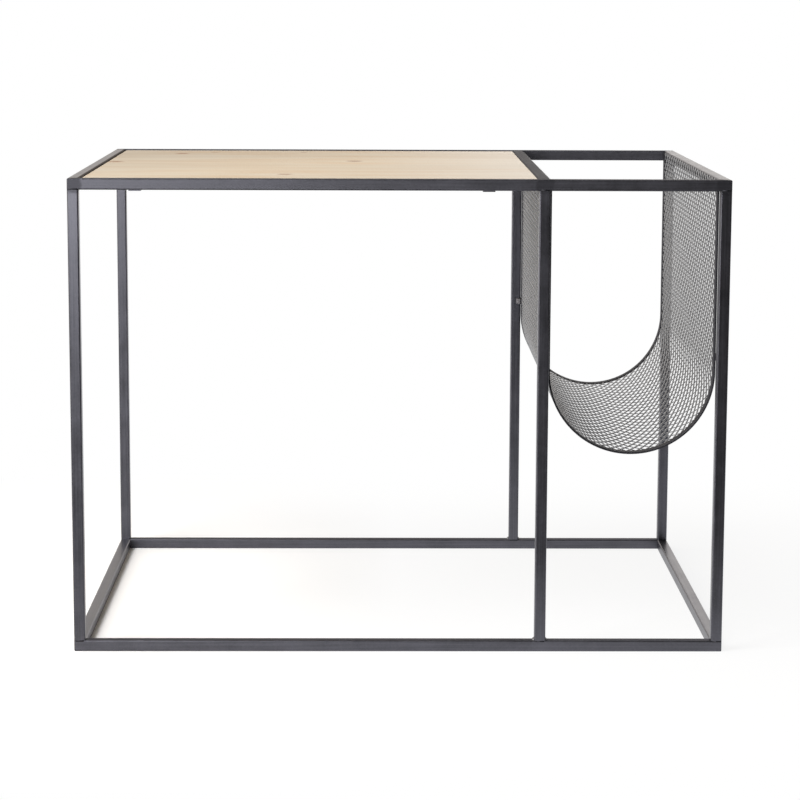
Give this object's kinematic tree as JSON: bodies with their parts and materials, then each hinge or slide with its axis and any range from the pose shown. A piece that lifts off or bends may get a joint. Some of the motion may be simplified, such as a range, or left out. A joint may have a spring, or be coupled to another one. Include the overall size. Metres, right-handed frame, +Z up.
{
  "type": "magazine table",
  "caption": "Side table of welded square steel tube: a recessed wooden top over the wide bay and a U-shaped mesh sling for magazines hung in the narrow bay.",
  "frame": {"origin": "on the floor under the middle of the table's outline", "axes": "+X towards the rack's side, +Y to the rear, +Z up"},
  "size_m": [0.7, 0.535, 0.51],
  "materials": {
    "frame_steel": "blackened steel tube and flat bar, brushed and waxed",
    "mesh_steel": "expanded steel mesh in its own grey under clear satin lacquer",
    "board_wood": "pale fir board, planed and matt lacquered",
    "screw_steel": "zinc-plated wood screws"
  },
  "bodies": {
    "root": {"board_screws": "screw_steel", "bottom_front_rail": "frame_steel", "bottom_left_rail": "frame_steel", "bottom_rear_rail": "frame_steel", "bottom_right_rail": "frame_steel", "divider_foot_welds": "frame_steel", "front_divider_leg": "frame_steel", "front_left_board_tab": "frame_steel", "front_left_leg": "frame_steel", "front_right_board_tab": "frame_steel", "front_right_leg": "frame_steel", "rack_front_rim": "frame_steel", "rack_mesh": "mesh_steel", "rack_rear_rim": "frame_steel", "rack_rim_welds": "frame_steel", "rear_divider_leg": "frame_steel", "rear_left_board_tab": "frame_steel", "rear_left_leg": "frame_steel", "rear_right_board_tab": "frame_steel", "rear_right_leg": "frame_steel", "tabletop_board": "board_wood", "top_divider_rail": "frame_steel", "top_front_rail": "frame_steel", "top_left_rail": "frame_steel", "top_rear_rail": "frame_steel", "top_right_rail": "frame_steel"}
  },
  "joints": []
}
